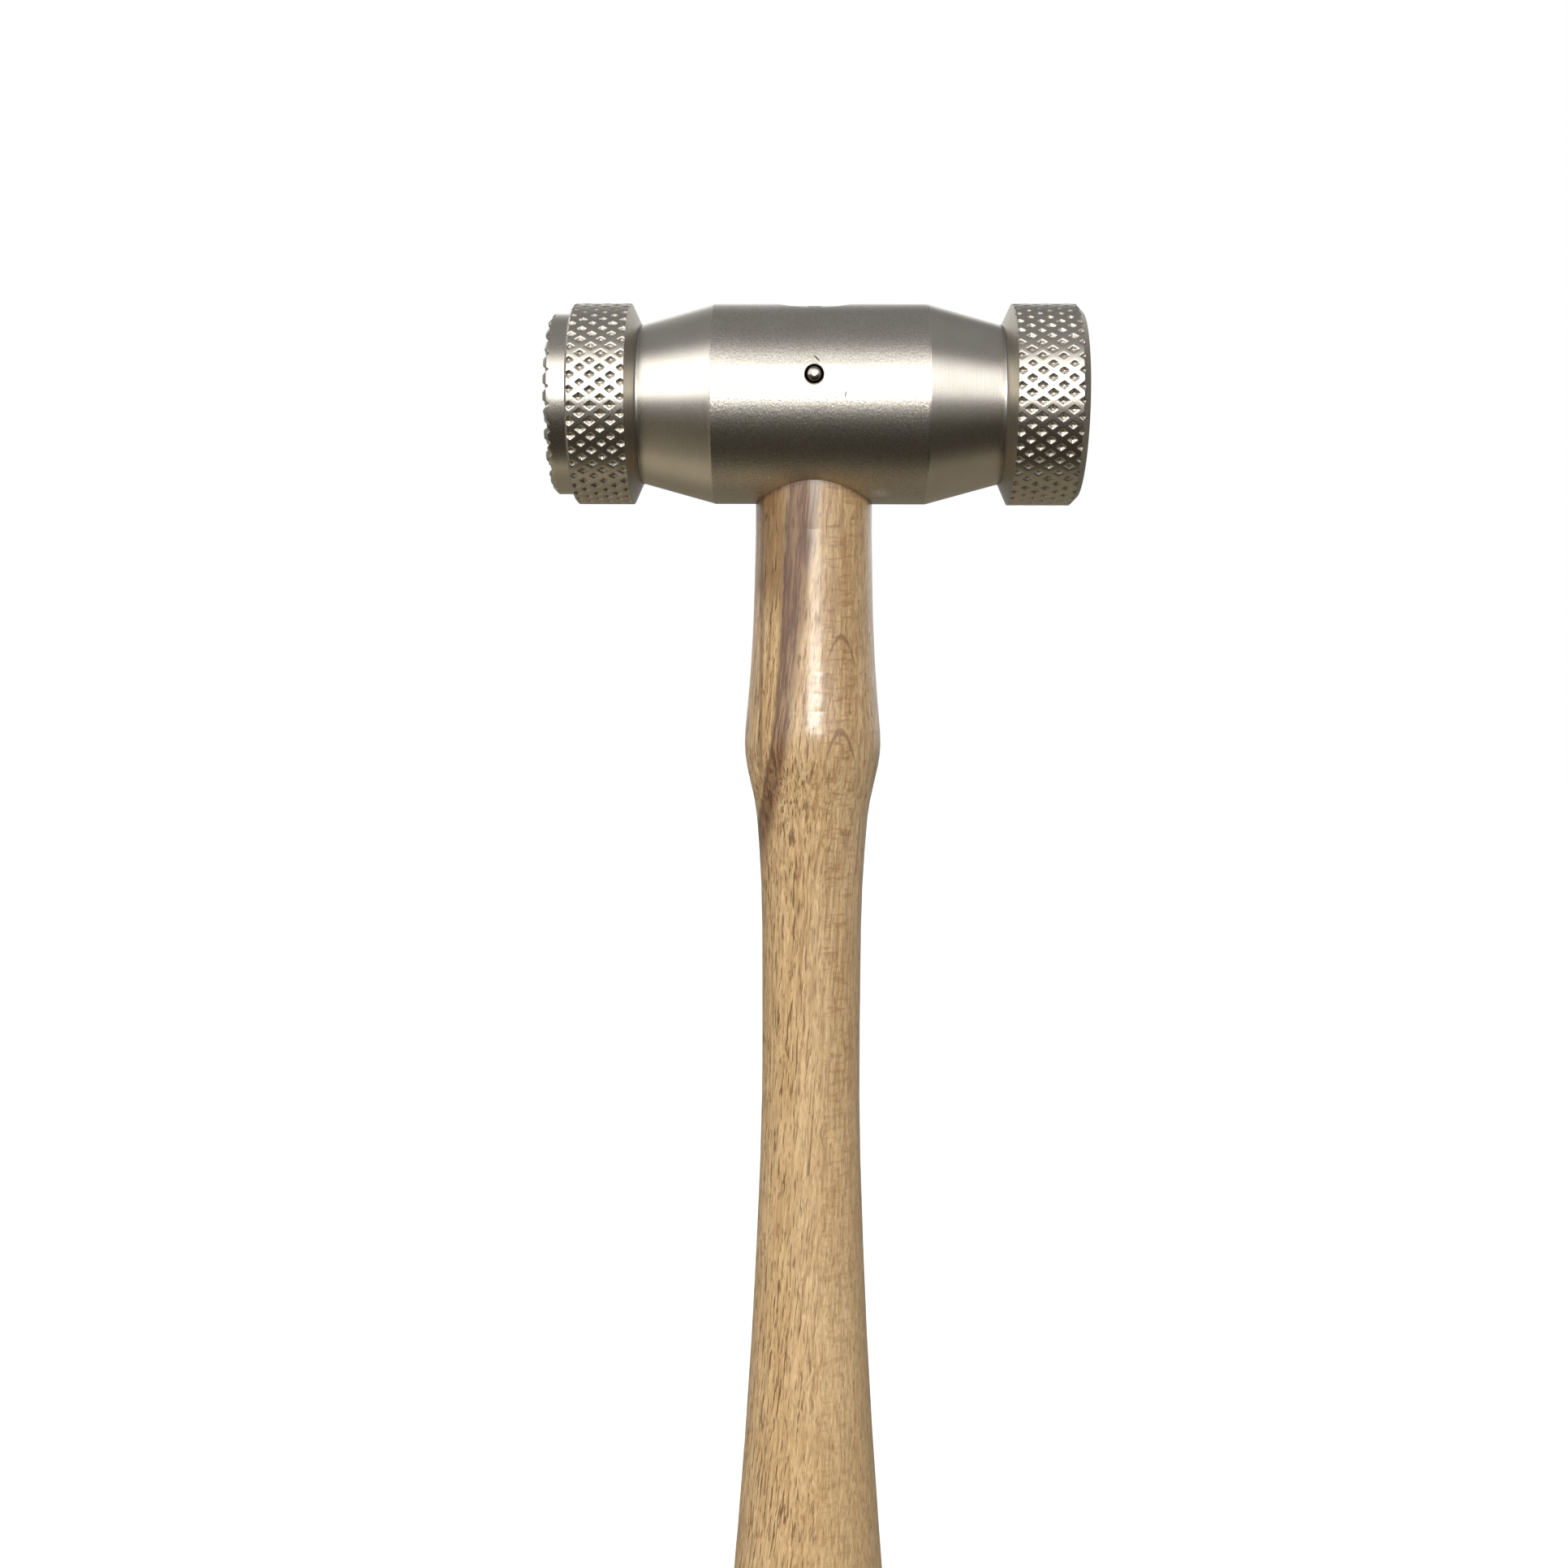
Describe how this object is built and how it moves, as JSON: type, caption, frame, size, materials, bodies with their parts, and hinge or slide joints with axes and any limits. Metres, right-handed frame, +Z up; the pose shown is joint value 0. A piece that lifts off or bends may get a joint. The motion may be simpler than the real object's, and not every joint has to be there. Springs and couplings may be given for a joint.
{
  "type": "texturing hammer",
  "caption": "Small jeweller's texturing hammer: barrel head with a screw-on waffle face and a screw-on plain face, on a turned wooden handle.",
  "frame": {"origin": "centre of the flat butt end of the handle", "axes": "+Z up the handle to the head, +X along the head towards the plain face, -X towards the texture face, +Y away from the viewer of the cross pin's front end"},
  "size_m": [0.0664, 0.025, 0.245],
  "materials": {
    "satin_nickel": "satin nickel plate, finely brushed",
    "beech": "oiled and waxed beech with a dark heart streak",
    "polished_steel": "polished",
    "plain_steel": "dull mill finish"
  },
  "bodies": {
    "hammer": {"head_barrel": "satin_nickel", "handle": "beech", "eye_wedge": "plain_steel", "cross_pin": "polished_steel"},
    "texture_washer_body": {"texture_face_washer": "plain_steel"},
    "texture_face_body": {"texture_face": "satin_nickel"},
    "plain_washer_body": {"plain_face_washer": "plain_steel"},
    "plain_face_body": {"plain_face": "satin_nickel"}
  },
  "joints": [
    {"name": "texture_face_travel", "type": "slide", "parent": "hammer", "child": "texture_washer_body", "axis": [-1, 0, 0], "range_m": [0, 0.009]},
    {"name": "texture_face_turn", "type": "hinge", "parent": "texture_washer_body", "child": "texture_face_body", "pos_m": [-0.02185, 0, 0.2325], "axis": [-1, 0, 0], "range_deg": [0, 2160]},
    {"name": "plain_face_travel", "type": "slide", "parent": "hammer", "child": "plain_washer_body", "axis": [1, 0, 0], "range_m": [0, 0.009]},
    {"name": "plain_face_turn", "type": "hinge", "parent": "plain_washer_body", "child": "plain_face_body", "pos_m": [0.02345, 0, 0.2325], "axis": [1, 0, 0], "range_deg": [0, 2160]}
  ],
  "couplings": [
    {"joint": "texture_face_turn", "follows": "texture_face_travel", "rad_per_m": 4188.8},
    {"joint": "plain_face_turn", "follows": "plain_face_travel", "rad_per_m": 4188.8}
  ]
}
